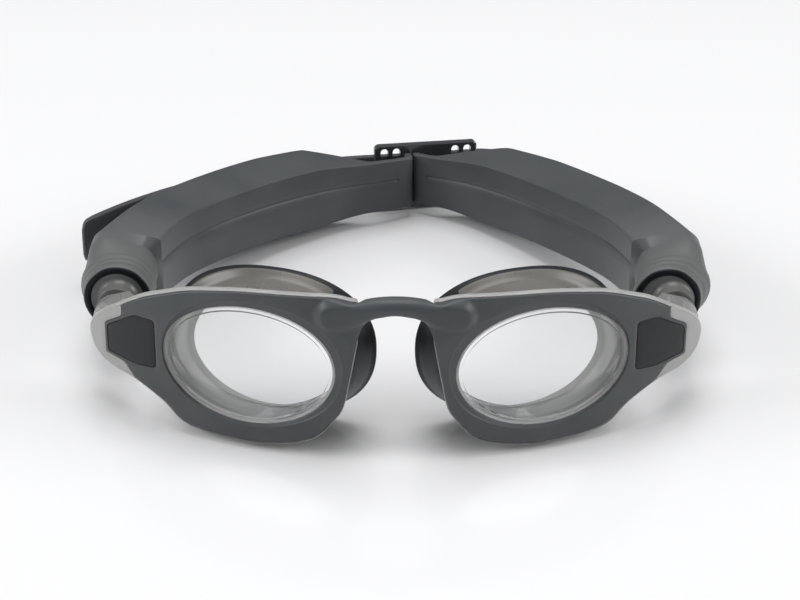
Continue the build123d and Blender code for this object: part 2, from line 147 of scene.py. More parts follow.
class GogglesStrapSizes(PropertyGroup):
    """Sizes of the strap, its hoods and the buckle."""
    stud_x: length("Stud place", "Ball centre beside the middle", 75.5)
    stud_z: length("Stud height", "Ball centre above the window centres", 2.0)
    hood_front: length("Hood front", "Mouth of the hood behind the nose", 45.12)
    hood_radius: length("Hood radius", "Bell round the stud", 9.4)
    swell: length("Swell", "Outward swell of the hood behind its mouth", 2.4)
    band_start: length("Band start", "Start of the padded band behind the nose", 57.12)
    inner_x: length("Inner face", "Inner face of the band beside the middle", 66.75)
    height: length("Height", "Inner face of the strap at the temple", 19.2)
    end_height: length("End height", "Flat end at the buckle", 16.2)
    end_depth: length("End depth", "Thickness of the flat ends", 2.2)
    tail_height: length("Tail height", "Threaded and free ends", 13.2)
    tail_level: length("Tail level", "Middle of the free ends above the window centres", 1.4)
    tail_radius: length("Tail radius", "Curve of the free ends", 119.0)
    tail_tip: length("Tail tip", "Corner radius at a free end", 2.5)
    buckle_x: length("Buckle place", "Centre right of the middle", 8.9)
    buckle_y: length("Buckle depth", "Centre behind the nose", 138.0)
    buckle_width: length("Buckle width", "Over the plate", 32.4)
    buckle_skin: length("Buckle skin", "Thickness of the plate", 2.4)
    buckle_yaw: FloatProperty(name="Buckle turn", description="Turn seen from above",
                              default=radians(10.0), unit="ROTATION", subtype="ANGLE")


class GogglesSceneSizes(PropertyGroup):
    """Standing place and camera."""
    tilt: FloatProperty(name="Tilt", description="Lean of the goggles as they stand",
                        default=radians(6.37107), unit="ROTATION", subtype="ANGLE")
    pitch: FloatProperty(name="Pitch", description="Camera's look down on the goggles",
                         default=radians(24.624), unit="ROTATION", subtype="ANGLE")
    yaw: FloatProperty(name="Yaw", description="Camera's turn", default=radians(-0.0762),
                       unit="ROTATION", subtype="ANGLE")
    roll: FloatProperty(name="Roll", description="Camera's roll", default=radians(0.22),
                        unit="ROTATION", subtype="ANGLE")
    lens: FloatProperty(name="Lens", description="Focal length in millimetres", default=92.49)


class Millimetres:
    """Reads a group's lengths in millimetres."""
    def __init__(self, group):
        self.group = group

    def __getattr__(self, key):
        return getattr(getattr(bpy.context.scene, self.group), key) / MM


FRONT = Millimetres("goggles_front")
STRAP = Millimetres("goggles_strap")


# ---- placing --------------------------------------------------------------------------------
def standing():
    """Matrix from the layout frame in millimetres to the row frame in metres."""
    tilt = Matrix.Rotation(-bpy.context.scene.goggles_scene.tilt, 4, "X")
    low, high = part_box("rear_buckle")
    centre = tilt @ Vector((STRAP.buckle_x, STRAP.buckle_y, STRAP.stud_z)) * MM
    return Matrix.Translation((low + high) / 2 - centre) @ tilt @ Matrix.Scale(MM, 4)


def face_y(x, depth=0.0):
    """Y of the surface at a depth behind the wrapped front."""
    radius = FRONT.face_radius
    return radius - sqrt((radius - depth) ** 2 - x * x)


def eye_point(u, v, depth):
    """Point in the right eyecup: across it, up it and behind the front."""
    radius = FRONT.face_radius
    angle = asin(FRONT.eye_spacing / 2 / radius)
    reach = radius - depth
    return Vector((reach * sin(angle) + u * cos(angle),
                   radius - reach * cos(angle) + u * sin(angle), v))


def curve_through(points, spans, closed=False):
    """Smooth run of points through given ones."""
    points = [Vector(p) for p in points]
    count = len(points)
    result = []
    for i in range(count if closed else count - 1):
        if closed:
            a, b, c, d = (points[(i + k) % count] for k in (-1, 0, 1, 2))
        else:
            b, c = points[i], points[i + 1]
            a = points[i - 1] if i else b * 2 - c
            d = points[i + 2] if i + 2 < count else c * 2 - b
        for k in range(spans):
            t = k / spans
            result.append(0.5 * (2 * b + (c - a) * t + (2 * a - 5 * b + 4 * c - d) * t ** 2
                                 + (3 * b - a - 3 * c + d) * t ** 3))
    if not closed:
        result.append(points[-1])
    return result


def run_marks(points):
    """Distance of each point along a run."""
    marks = [0.0]
    for a, b in zip(points, points[1:]):
        marks.append(marks[-1] + (b - a).length)
    return marks


def evenly(points, step, closed=True):
    """The same run resampled at an even spacing."""
    ends = points + points[:1] if closed else points
    marks = run_marks(ends)
    count = max(3, round(marks[-1] / step))
    places = np.linspace(0, marks[-1], count + 1)
    columns = [np.interp(places, marks, [p[k] for p in ends]) for k in range(len(points[0]))]
    run = [Vector(values) for values in zip(*columns)]
    return run[:-1] if closed else run


def eased(points, passes):
    """A closed run with its corners softened."""
    for _ in range(passes):
        points = [(points[i - 1] + p * 2 + points[(i + 1) % len(points)]) / 4
                  for i, p in enumerate(points)]
    return points


def normals_2d(loop):
    """Outward normals of an anticlockwise loop in a plane."""
    result = []
    for i in range(len(loop)):
        run = loop[(i + 1) % len(loop)] - loop[i - 1]
        result.append(Vector((run.y, -run.x)).normalized())
    return result


def anticlockwise(loop):
    area = sum(a.x * b.y - b.x * a.y for a, b in zip(loop, loop[1:] + loop[:1]))
    return loop if area > 0 else loop[::-1]


def smooth_step(value, low, high):
    t = min(1.0, max(0.0, (value - low) / (high - low)))
    return t * t * (3 - 2 * t)


# ---- meshes ---------------------------------------------------------------------------------
def new_mesh(name, points, faces, weld=0.0005, angle=None):
    """A smooth mesh from layout points; angle leaves sharper edges hard."""
    mesh = bpy.data.meshes.new(name)
    place = standing()
    mesh.from_pydata([place @ Vector(p) for p in points], [], faces)
    work = bmesh.new()
    work.from_mesh(mesh)
    if weld:
        bmesh.ops.remove_doubles(work, verts=work.verts, dist=weld * MM)
    bmesh.ops.recalc_face_normals(work, faces=work.faces)
    for face in work.faces:
        face.smooth = True
    if angle:
        for edge in work.edges:
            edge.smooth = not (len(edge.link_faces) == 2 and edge.calc_face_angle(0) > angle)
    work.to_mesh(mesh)
    work.free()
    thing = bpy.data.objects.new(name, mesh)
    bpy.context.scene.collection.objects.link(thing)
    return thing


def skin_between(rows, start=0, closed=True, wrap=False):
    """Quads between rows of points that have equal counts."""
    faces = []
    count = len(rows[0])
    last = len(rows) if wrap else len(rows) - 1
    for r in range(last):
        low, high = start + r * count, start + (r + 1) % len(rows) * count
        for i in range(count if closed else count - 1):
            j = (i + 1) % count
            faces.append((low + i, low + j, high + j, high + i))
    return faces


def flat_list(rows):
    return [p for row in rows for p in row]


def tube(name, rows, angle):
    """A closed body from rings of points."""
    points = flat_list(rows)
    count = len(rows[0])
    ends = [tuple(range(count)), tuple(range(len(points) - count, len(points)))]
    return new_mesh(name, points, skin_between(rows) + ends, angle=angle)


def turned(name, profile, centre, count=96):
    """A ring turned about an axis along Y from a closed profile of (radius, y)."""
    rows = []
    for k in range(count):
        a = 2 * pi * k / count
        rows.append([Vector((centre[0] + r * cos(a), y, centre[1] + r * sin(a)))
                     for r, y in profile])
    return new_mesh(name, flat_list(rows), skin_between(rows, wrap=True))


def mirrored(points, side):
    return [Vector((SIDES[side] * p[0], p[1], p[2])) for p in points]


def flipped(loop, sign):
    """A plane loop of the right half, on the side that a sign gives."""
    return [Vector((sign * p.x, p.y)) for p in loop]


def add_patch(points, faces, loop, holes, step, depth_of, sign=1):
    """Adds a filled plane loop, wrapped on the front at the depth of each place."""
    flat, fill = plane_fill(loop, holes, step)
    start = len(points)
    points.extend(front_point(sign * p.x, p.y, depth_of(p)) for p in flat)
    faces.extend(tuple(start + k for k in f) for f in fill)


def inside_loop(points, loop):
    """Which of some plane points lie in a loop, as an array of booleans."""
    x, y = points[:, 0], points[:, 1]
    found = np.zeros(len(points), bool)
    for i, b in enumerate(loop):
        a = loop[i - 1]
        crosses = (a.y > y) != (b.y > y)
        if crosses.any():
            at = a.x + (y[crosses] - a.y) * (b.x - a.x) / (b.y - a.y)
            found[crosses] ^= x[crosses] < at
    return found


def plane_fill(outer, holes, step):
    """Triangles that fill a loop with holes, and their plane points, on an even grid."""
    loops = [outer] + holes
    low = np.min([tuple(p) for p in outer], axis=0)
    high = np.max([tuple(p) for p in outer], axis=0)
    xs = np.arange(low[0], high[0], step)
    zs = np.arange(low[1], high[1], step * 0.87)
    grid = np.array([(x + (k % 2) * step / 2, z) for k, z in enumerate(zs) for x in xs])
    keep = inside_loop(grid, outer)
    for hole in holes:
        keep &= ~inside_loop(grid, hole)
    edge_points = np.array([tuple(p) for loop in loops for p in loop])
    grid = grid[keep]
    near = np.ones(len(grid), bool)
    for p in edge_points:
        near &= np.abs(grid - p).max(axis=1) > step * 0.55
    grid = grid[near]
    points = [Vector(p) for p in edge_points] + [Vector(p) for p in grid]
    edges = []
    start = 0
    for loop in loops:
        edges += [(start + i, start + (i + 1) % len(loop)) for i in range(len(loop))]
        start += len(loop)
    points, _, faces, _, _, _ = delaunay_2d_cdt(points, edges, [], 0, 1e-5)
    centres = np.array([tuple(sum((points[k] for k in f), Vector((0, 0))) / 3) for f in faces])
    keep = inside_loop(centres, outer)
    for hole in holes:
        keep &= ~inside_loop(centres, hole)
    return points, [f for f, k in zip(faces, keep) if k]


# ---- materials ------------------------------------------------------------------------------
def node(tree, kind, place, **inputs):
    made = tree.nodes.new(kind)
    made.location = place
    for key, value in inputs.items():
        made.inputs[key.replace("_", " ")].default_value = value
    return made


def grain_group():
    """Shared effect: moulded grain and cloudy wear, as masks and a height, and a painted light
    share that grows towards the front of a part.
    """
    name = "Moulded grain and painted light"
    if name in bpy.data.node_groups:
        return bpy.data.node_groups[name]
    tree = bpy.data.node_groups.new(name, "ShaderNodeTree")
    for socket, default in (("Grain Scale", 1400.0), ("Cloud Scale", 55.0)):
        made = tree.interface.new_socket(socket, in_out="INPUT", socket_type="NodeSocketFloat")
        made.default_value = default
    for socket in ("Grain", "Cloud", "Height", "Painted Light"):
        tree.interface.new_socket(socket, in_out="OUTPUT", socket_type="NodeSocketFloat")
    start = tree.nodes.new("NodeGroupInput")
    end = tree.nodes.new("NodeGroupOutput")
    place = tree.nodes.new("ShaderNodeTexCoord")
    grain = node(tree, "ShaderNodeTexNoise", (-200, 200), Detail=3.0, Roughness=0.6)
    cloud = node(tree, "ShaderNodeTexNoise", (-200, -100), Detail=4.0, Roughness=0.55)
    mix = node(tree, "ShaderNodeMath", (100, 0))
    mix.operation = "MULTIPLY_ADD"
    mix.inputs[1].default_value = 0.8
    link = tree.links.new
    link(place.outputs["Object"], grain.inputs["Vector"])
    link(place.outputs["Object"], cloud.inputs["Vector"])
    link(start.outputs["Grain Scale"], grain.inputs["Scale"])
    link(start.outputs["Cloud Scale"], cloud.inputs["Scale"])
    link(grain.outputs["Fac"], mix.inputs[0])
    link(cloud.outputs["Fac"], mix.inputs[2])
    # Painted light: a share that rises towards the front of a part (lower Y), for a paler colour
    # there as if it were lit more strongly.
    split = node(tree, "ShaderNodeSeparateXYZ", (-200, -300))
    painted_light = node(tree, "ShaderNodeMapRange", (100, -300), From_Min=0.012, From_Max=-0.018)
    link(place.outputs["Object"], split.inputs["Vector"])
    link(split.outputs["Y"], painted_light.inputs["Value"])
    link(painted_light.outputs["Result"], end.inputs["Painted Light"])
    link(grain.outputs["Fac"], end.inputs["Grain"])
    link(cloud.outputs["Fac"], end.inputs["Cloud"])
    link(mix.outputs["Value"], end.inputs["Height"])
    return tree


def uneven_gloss(tree, rough):
    """The shared grain in a material, with its gloss cloudy between two roughnesses."""
    group = tree.nodes.new("ShaderNodeGroup")
    group.node_tree = grain_group()
    gloss = node(tree, "ShaderNodeMapRange", (0, -200), To_Min=rough[0], To_Max=rough[1])
    tree.links.new(group.outputs["Cloud"], gloss.inputs["Value"])
    tree.links.new(gloss.outputs["Result"], tree.nodes["Principled BSDF"].inputs["Roughness"])
    return group


def moulded(name, dark, light, rough, bump, coat=0.0, specular=0.4, painted_light=None):
    """A moulded plastic or rubber: two close colours, uneven gloss and a fine grain.

    The optional third, paler colour is painted light: it is mixed in towards the front of a
    silicone part, as if the front were lit more strongly.
    """
    material = bpy.data.materials.new(name)
    material.use_nodes = True
    tree = material.node_tree
    shader = tree.nodes["Principled BSDF"]
    shader.inputs["Coat Weight"].default_value = coat
    shader.inputs["Coat Roughness"].default_value = 0.15
    shader.inputs["Specular IOR Level"].default_value = specular
    group = uneven_gloss(tree, rough)
    colours = tree.nodes.new("ShaderNodeValToRGB")
    for stop, place, colour in zip(colours.color_ramp.elements, (0.3, 0.7), (dark, light)):
        stop.position = place
        stop.color = (*colour, 1)
    relief = node(tree, "ShaderNodeBump", (0, -400), Strength=bump, Distance=0.0001)
    link = tree.links.new
    link(group.outputs["Cloud"], colours.inputs["Fac"])
    link(group.outputs["Height"], relief.inputs["Height"])
    # Painted light: the paler third colour, mixed in towards the front.
    if painted_light:
        painted_light_mix = tree.nodes.new("ShaderNodeMix")
        painted_light_mix.data_type = "RGBA"
        painted_light_mix.inputs[7].default_value = (*painted_light, 1)
        link(group.outputs["Painted Light"], painted_light_mix.inputs[0])
        link(colours.outputs["Color"], painted_light_mix.inputs[6])
        link(painted_light_mix.outputs[2], shader.inputs["Base Color"])
    else:
        link(colours.outputs["Color"], shader.inputs["Base Color"])
    link(relief.outputs["Normal"], shader.inputs["Normal"])
    return material


def clear(name, tint, rough, transmission=1.0):
    """Moulded polycarbonate, clear or frosted."""
    material = bpy.data.materials.new(name)
    material.use_nodes = True
    tree = material.node_tree
    shader = tree.nodes["Principled BSDF"]
    shader.inputs["Base Color"].default_value = (*tint, 1)
    shader.inputs["Transmission Weight"].default_value = transmission
    shader.inputs["IOR"].default_value = 1.5
    uneven_gloss(tree, rough)
    return material


def finish_piece(thing, material, slot, body, *nodes):
    """Material, body and the CAD nodes a piece stands for; the slot argument is not used."""
    thing.data.materials.clear()
    thing.data.materials.append(material)
    if body:
        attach(thing, body)
    if nodes:
        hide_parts(*nodes)


# ---- front ----------------------------------------------------------------------------------
def window_loop(margin, count=132):
    """The window's oval in the plane of the front, grown by a margin."""
    a = FRONT.window_width / 2 + margin
    b = FRONT.window_height / 2 + margin
    eye = FRONT.eye_spacing / 2
    return [Vector((eye + a * cos(2 * pi * k / count), b * sin(2 * pi * k / count)))
            for k in range(count)]


def ring_loop(share, count=132):
    """The window's oval grown by a share of the ring, which fades towards the temple."""
    ring = FRONT.ring
    loop = window_loop(0.0, count)
    grown = []
    for k, (p, n) in enumerate(zip(loop, normals_2d(loop))):
        turn = 2 * pi * k / count
        width = 0.3 + 0.75 * max(0.0, sin(turn)) ** 0.7 + 0.55 * max(0.0, -cos(turn)) ** 2
        width = min(1.25, width) * (1 - 0.55 * max(0.0, cos(turn)) ** 2)
        grown.append(p + n * ring * width * share)
    return grown


def soft_loop():
    """Outline of the soft frame: both halves and the bridge, short of the bare temple tips."""
    half = [Vector(p) for p in OUTLINE]
    whole = half + [Vector((-p.x, p.y)) for p in half[-2:0:-1]]
    run = evenly(curve_through(whole, 12, closed=True), 0.8)
    run = anticlockwise(eased(run, 3))
    bare = FRONT.bare_edge
    moved = []
    for p, n in zip(run, normals_2d(run)):
        q = p - n * bare * smooth_step(abs(p.x), 8.0, 11.0) * (1 + smooth_step(-p.y, 12, 18))
        limit = tip_limit(q.y)
        if abs(q.x) > limit:
            q = Vector((copysign(limit, q.x), q.y))
        moved.append(q)
    return eased(evenly(moved, 0.6), 1)


def tip_limit(z):
    """Where the soft frame gives way to the bare temple tip, at a height."""
    heights = (-12.0, -10.7, -6.9, -6.2, -5.2, 3.7, 7.0, 12.0)
    places = (67.6, 68.2, 71.0, 71.8, 76.7, 76.7, 71.7, 71.6)
    return float(np.interp(z, heights, places))


def hexagon(grow=0.0):
    """Temple inlay's six-sided outline with rounded corners, right side."""
    corners = [(76.2, 3.1), (68.0, 8.4), (62.7, 8.1), (62.7, -5.7), (68.0, -6.0), (76.2, -4.4)]
    corners = anticlockwise([Vector(c) for c in corners])
    loop = []
    for i, c in enumerate(corners):
        a, b = corners[i - 1], corners[(i + 1) % 6]
        start, end = c + (a - c).normalized() * 1.1, c + (b - c).normalized() * 1.1
        for k in range(7):
            t = k / 6
            loop.append(start * (1 - t) ** 2 + c * 2 * t * (1 - t) + end * t * t)
    loop = evenly(loop, 0.6)
    return [p + n * grow for p, n in zip(loop, normals_2d(loop))]


def bridge_share(x, z):
    """How far a place belongs to the bridge and its rounded roots: 1 inside, 0 outside."""
    middle, root = Vector((5.0, 19.4)), Vector((15.6, 16.6))
    p = Vector((max(abs(x), middle.x), z))
    t = min(1.0, max(0.0, (p - middle).dot(root - middle) / (root - middle).length_squared))
    reach = (p - middle.lerp(root, t)).length / (3.4 + 1.8 * t)
    lobe = smooth_step(z, 1.0, 12.0) * (1 - smooth_step(abs(x), 11.5, 16.5))
    return max(1 - smooth_step(reach, 0.58, 1.05), 0.4 * lobe)


def frame_depths(x, z):
    """Depths of the soft frame's front and rear skins at a place."""
    skin, bridge = FRONT.plate, FRONT.bridge
    near = (1 - smooth_step(abs(x), 7.5, 9.5)) * smooth_step(z, 10.0, 14.0)
    front = -FRONT.boss * bridge_share(x, z)
    rear = skin + (bridge - skin - FRONT.boss) * near
    return front, rear


def front_point(x, z, depth):
    return Vector((x, face_y(x, depth), z))


def make_frame():
    """Soft frame as one skin: front, rolled edges, dished window rings and inlay recesses."""
    skin, edge = FRONT.plate, FRONT.edge
    outer = soft_loop()
    normals = normals_2d(outer)
    points, faces = [], []

    def add_rows(rows):
        start = len(points)
        points.extend(front_point(*p) for row in rows for p in row)
        faces.extend(skin_between(rows, start))

    def rim_radius(p):
        near = (1 - smooth_step(abs(p.x), 8.0, 13.0)) * smooth_step(p.y, 8.0, 14.0)
        far = smooth_step(abs(p.x), 66.0, 72.0)
        return edge + (2.3 - edge) * near - 0.2 * far

    radii = [rim_radius(p) for p in outer]
    inner = [p - n * r for p, n, r in zip(outer, normals, radii)]
    windows = []
    rings = []
    for sign in SIDES.values():
        windows.append(flipped(ring_loop(1.0), sign))
        rows = []
        for share, depth in ((1.0, 0.0), (0.97, 0.08), (0.8, 0.25), (0.5, 0.45), (0.25, 0.62),
                             (0.1, 0.74), (0.02, 0.88), (0.0, skin)):
            rows.append([(sign * p.x, p.y, depth) for p in ring_loop(share)])
        rings.append(rows)
    recesses = [flipped(hexagon(0.14), sign) for sign in SIDES.values()]
    add_patch(points, faces, inner, windows + recesses, 0.8, lambda p: frame_depths(p.x, p.y)[0])
    for rows in rings:
        add_rows(rows)
    for sign in SIDES.values():
        rows = [[(sign * p.x, p.y, depth) for p in hexagon(grow)]
                for grow, depth in ((0.14, 0.0), (0.07, 0.06), (0.04, 0.2), (0.04, 0.9))]
        add_rows(rows)
        add_patch(points, faces, flipped(hexagon(0.04), sign), [], 1.5, lambda p: 0.9)
    rows = []
    steps = 6
    for k in range(2 * steps + 2):
        front_side = k <= steps
        a = (k if front_side else k - 1) / steps * pi / 2
        row = []
        for p, n, r in zip(outer, normals, radii):
            q = p - n * r * (1 - sin(a))
            front, rear = frame_depths(q.x, q.y)
            sink = min(r, (rear - front) / 2)
            depth = front + sink * (1 - cos(a)) if front_side else rear - sink * (1 + cos(a))
            row.append((q.x, q.y, depth))
        rows.append(row)
    add_rows(rows)
    rear_windows = [flipped(window_loop(0.0), sign) for sign in SIDES.values()]
    add_patch(points, faces, inner, rear_windows, 1.6, lambda p: frame_depths(p.x, p.y)[1])
    return new_mesh("frame_soft", points, faces, weld=0.002, angle=radians(50))


def make_inlay(side):
    """Temple inlay: a plate with a softly rolled edge."""
    sign = SIDES[side]
    steps = ((-0.02, 0.88), (-0.02, 0.3), (-0.08, 0.16), (-0.25, 0.08), (-0.55, 0.04))
    points = [front_point(sign * p.x, p.y, depth) for grow, depth in steps
              for p in hexagon(grow)]
    count = len(points) // len(steps)
    faces = skin_between([points[k * count:(k + 1) * count] for k in range(len(steps))])
    for grow, depth in (steps[0], steps[-1]):
        add_patch(points, faces, hexagon(grow), [], 1.2, lambda p: depth, sign)
    return new_mesh(f"inlay_plate_{side}", points, faces, weld=0.01, angle=radians(60))


def half_loop():
    """Outline round the right eye, closed at the foot of the bridge."""
    run = evenly(curve_through([Vector(p) for p in OUTLINE], 12), 0.8, closed=False)
    run = [Vector((p.x, p.y)) for p in run if p.x > 9.4]
    return anticlockwise(eased(evenly(run, 0.8), 1))


def make_rim(side):
    """Clear rim round the soft frame and the bare temple tip."""
    sign = SIDES[side]
    loop = half_loop()
    normals = normals_2d(loop)
    rear = FRONT.rim_end
    section = ((-1.6, 1.12), (-0.42, 1.12), (-0.36, 0.7), (-0.22, 0.5), (-0.07, 0.56),
               (0.0, 0.8), (0.0, rear - 0.4), (-0.15, rear), (-1.6, rear))
    rows = [[front_point(sign * (p + n * grow).x, (p + n * grow).y, depth)
             for grow, depth in section] for p, n in zip(loop, normals)]
    points = flat_list(rows)
    faces = skin_between(rows, wrap=True)
    bare = [p.x > tip_limit(p.y) + 0.1 for p in loop]
    first = next(k for k in range(len(loop)) if bare[k] and not bare[k - 1])
    turn = [(first + k) % len(loop) for k in range(sum(bare))]
    outline = [loop[k] - normals[k] * 0.28 for k in turn]
    high, low = outline[-1].y, outline[0].y
    count = round((high - low) / 0.5)
    for k in range(1, count):
        z = high + (low - high) * k / count
        outline.append(Vector((tip_limit(z) + 0.06, z)))
    outline = eased(evenly(outline, 0.5), 1)
    normals = normals_2d(outline)
    steps = ((0.0, 1.9), (0.0, 0.2), (-0.1, 0.06), (-0.25, 0.0))
    start = len(points)
    rows = [[front_point(sign * (p + n * grow).x, (p + n * grow).y, depth)
             for p, n in zip(outline, normals)] for grow, depth in steps]
    points.extend(flat_list(rows))
    faces.extend(skin_between(rows, start))
    for grow, depth in (steps[0], steps[-1]):
        loop = [p + n * grow for p, n in zip(outline, normals)]
        add_patch(points, faces, loop, [], 0.9, lambda p: depth, sign)
    return new_mesh(f"clear_rim_{side}", points, faces, weld=0.004, angle=radians(45))


def make_lip(side):
    """Bevelled edge of the clear pane inside the window."""
    sign = SIDES[side]
    rows = [[front_point(sign * p.x, p.y, depth) for p in window_loop(grow)]
            for grow, depth in ((0.25, 1.1), (-0.02, 1.08), (-0.1, 1.12), (-0.5, 1.62),
                                (-0.6, 1.9), (-0.35, 1.95), (0.25, 1.9))]
    return new_mesh(f"pane_edge_{side}", flat_list(rows), skin_between(rows, wrap=True),
                    weld=0.002, angle=radians(35))


def make_knob(side):
    """Round stud head on its neck."""
    radius, neck, middle = 6.5, 4.9, 46.3
    profile = [(neck, 38.4), (neck + 0.25, 38.5), (neck, 39.2)]
    first = pi - asin(neck / radius)
    for k in range(25):
        a = first - (first - 0.12) * k / 24
        profile.append((radius * sin(a), middle + radius * cos(a)))
    profile += [(0.4, middle + radius), (0.4, 38.4)]
    centre = (STRAP.stud_x * SIDES[side], STRAP.stud_z)
    return turned(f"knob_{side}", profile, centre)


def make_eyecup(side, glass, frosted, smoky):
    """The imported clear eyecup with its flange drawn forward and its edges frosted."""
    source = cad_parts[f"lens_{side}"]
    thing = bpy.data.objects.new(f"eyecup_{side}", source.data.copy())
    thing.matrix_world = source.matrix_world
    bpy.context.scene.collection.objects.link(thing)
    finish_piece(thing, glass, "lens", "eyepieces", f"lens_{side}")
    thing.data.materials.append(frosted)
    thing.data.materials.append(smoky)
    back = standing().inverted() @ source.matrix_world
    forth = back.inverted()
    radius, eye = FRONT.face_radius, FRONT.eye_spacing / 2
    front, rear = FRONT.skin, FRONT.skin + FRONT.flange
    a, b = cup_axes(0.0)

    def placed(co):
        p = back @ co
        return p, radius - hypot(p.x, p.y - radius), hypot((abs(p.x) - eye) / a, p.z / b)

    for face in thing.data.polygons:
        p, depth, share = placed(face.center)
        if share > 1.0 and depth < rear + 0.05:
            face.material_index = 1
        elif share > 1.2:
            face.material_index = 2
    for vertex in thing.data.vertices:
        p, depth, share = placed(vertex.co)
        if depth > rear + 0.1 and share < 1.1:
            across, up = cup_lean(min(depth, FRONT.cup_depth))
            p.x += copysign(across, p.x)
            p.z += up
            vertex.co = forth @ p
            continue
        if abs(depth - front) < 0.1 and share > 0.8:
            moved = FRONT.plate + 0.05
        elif front < depth < rear + 0.1 and share > 0.97:
            moved = FRONT.rim_end - 0.05
        elif share > 1.1 and depth < front:
            moved = depth
        else:
            continue
        if share > 1.1:
            shrink = 0.94 if abs(p.x) < 70 else 0.97
            p.x = copysign(eye + (abs(p.x) - eye) * shrink, p.x)
            p.z *= shrink
            moved = max(moved, 0.3)
        vertex.co = forth @ front_point(p.x, p.z, moved)


def cup_axes(depth):
    """Outer half axes of the cup wall at a depth."""
    shrink = FRONT.cup_taper * depth / FRONT.cup_depth
    return (FRONT.window_width / 2 + FRONT.cup_margin - shrink,
            FRONT.window_height / 2 + FRONT.cup_margin - shrink)


def cup_lean(depth):
    """How far the cup leans across and up at a depth: inwards and down, easing out at the rim."""
    cup, rim, start = FRONT.cup_depth, FRONT.seal_depth, FRONT.rim_end
    share = min(1.0, max(0.0, (depth - start) / (cup - start)))
    share *= 1 - smooth_step(depth, cup, rim - 1)
    return -FRONT.lean_in * share, -FRONT.lean_down * share


def rim_point(turn):
    """Place on the seal's squarish rim, across and up the eyecup."""
    across, up = cos(turn), sin(turn)
    tall = FRONT.seal_top if up > 0 else FRONT.seal_bottom
    return (FRONT.seal_width / 2 * copysign(abs(across) ** RIM_POWER, across),
            tall * copysign(abs(up) ** RIM_POWER, up))


def wall_point(turn, wall, depth, level=None):
    """Place outside the cup's wall at a depth, as wide as the cup is at a level."""
    a, b = cup_axes(depth if level is None else level)
    return ((a + wall) * cos(turn), (b + wall) * sin(turn), depth)


def flare_point(turn, share, wall, depth):
    """Place between the cup's rear edge and the seal's rim, by shares of the way."""
    cup, rim = FRONT.cup_depth, FRONT.seal_depth
    a, b = cup_axes(cup)
    ru, rv = rim_point(turn)
    return (a * cos(turn) * (1 - share) + ru * share + wall * cos(turn),
            b * sin(turn) * (1 - share) + rv * share + wall * sin(turn),
            cup + (rim - cup) * depth)


def eye_ring_mesh(name, side, profile_at, count=160):
    """A closed ring round the right eyecup, from a profile of (u, v, depth) per turn."""
    rows = [mirrored([eye_point(u + cup_lean(d)[0], v + cup_lean(d)[1], d)
                      for u, v, d in profile_at(2 * pi * k / count)], side)
            for k in range(count)]
    return new_mesh(name, flat_list(rows), skin_between(rows, wrap=True))


def make_seal(side):
    """Black face seal: grips the cup's rear, comes forward beside the nose and flares out."""
    cup = FRONT.cup_depth
    flange = FRONT.rim_end + 0.05
    flare = ((0.12, 0.9, 0.15), (0.4, 0.6, 0.38), (0.72, 0.3, 0.62), (0.94, 0.05, 0.84),
             (1.0, -0.05, 0.94), (0.99, -0.3, 1.0), (0.95, -0.6, 0.985), (0.7, -0.9, 0.74),
             (0.35, -1.1, 0.42), (0.1, -1.5, 0.12))

    def profile(turn):
        start = flange + (cup - 2.2 - flange) * sleeve_share(turn)
        grip = [wall_point(turn, wall, start + (cup - 0.3 - start) * share)
                for share, wall in ((0.0, 0.75), (0.05, 0.95), (0.5, 1.0), (1.0, 1.0))]
        foot = [wall_point(turn, wall, cup + 0.2, level=cup) for wall in (-1.4, 0.18)]
        return (grip + [flare_point(turn, *step) for step in flare] + foot
                + [wall_point(turn, 0.18, start)])
    return eye_ring_mesh(f"face_seal_{side}", side, profile)


def sleeve_share(turn):
    """Where round an eyecup its grey sleeve is left uncovered: over the top."""
    angle = turn * 180 / pi
    return smooth_step(angle, 4, 12) * (1 - smooth_step(angle, 122, 134))


def make_lining(side):
    """Pale layer between the clear cup wall and its silicone."""
    start, cup = FRONT.rim_end + 0.1, FRONT.cup_depth

    def profile(turn):
        steps = [start + (cup + 0.03 - start) * k / 6 for k in range(7)]
        inside = [wall_point(turn, 0.02, depth) for depth in steps]
        outside = [wall_point(turn, 0.14, depth) for depth in reversed(steps[:-1])]
        foot = [wall_point(turn, wall, cup + lift)
                for wall, lift in ((-1.5, 0.03), (-1.5, 0.15), (0.14, 0.15))]
        return inside + foot + outside
    return eye_ring_mesh(f"cup_lining_{side}", side, profile)


def make_sleeve(side):
    """Grey sleeve over the cup wall, flaring with the seal up to its black lip."""
    cup = FRONT.cup_depth
    start = FRONT.rim_end + 0.1
    flare = ((0.06, 0.98, 0.05), (0.12, 0.9, 0.15), (0.4, 0.6, 0.38), (0.6, 0.42, 0.53),
             (0.68, 0.34, 0.6))

    def profile(turn):
        out = 0.7 * sleeve_share(turn) - 0.5
        run = [wall_point(turn, wall, depth, level=start)
               for wall, depth in ((0.16, start), (0.5, start), (0.6, start + 0.3))]
        run += [wall_point(turn, 0.6 + (out + 0.45) * k / 4, start + (cup - 2.0 - start) * k / 4)
                for k in range(1, 5)]
        run += [flare_point(turn, share, wall + out, depth) for share, wall, depth in flare]
        u, v, depth = run[-1]
        run.append((u - 0.5 * cos(turn), v - 0.5 * sin(turn), depth + 0.1))
        run.append(wall_point(turn, 0.16, cup - 1.2))
        return run
    return eye_ring_mesh(f"cup_sleeve_{side}", side, profile)


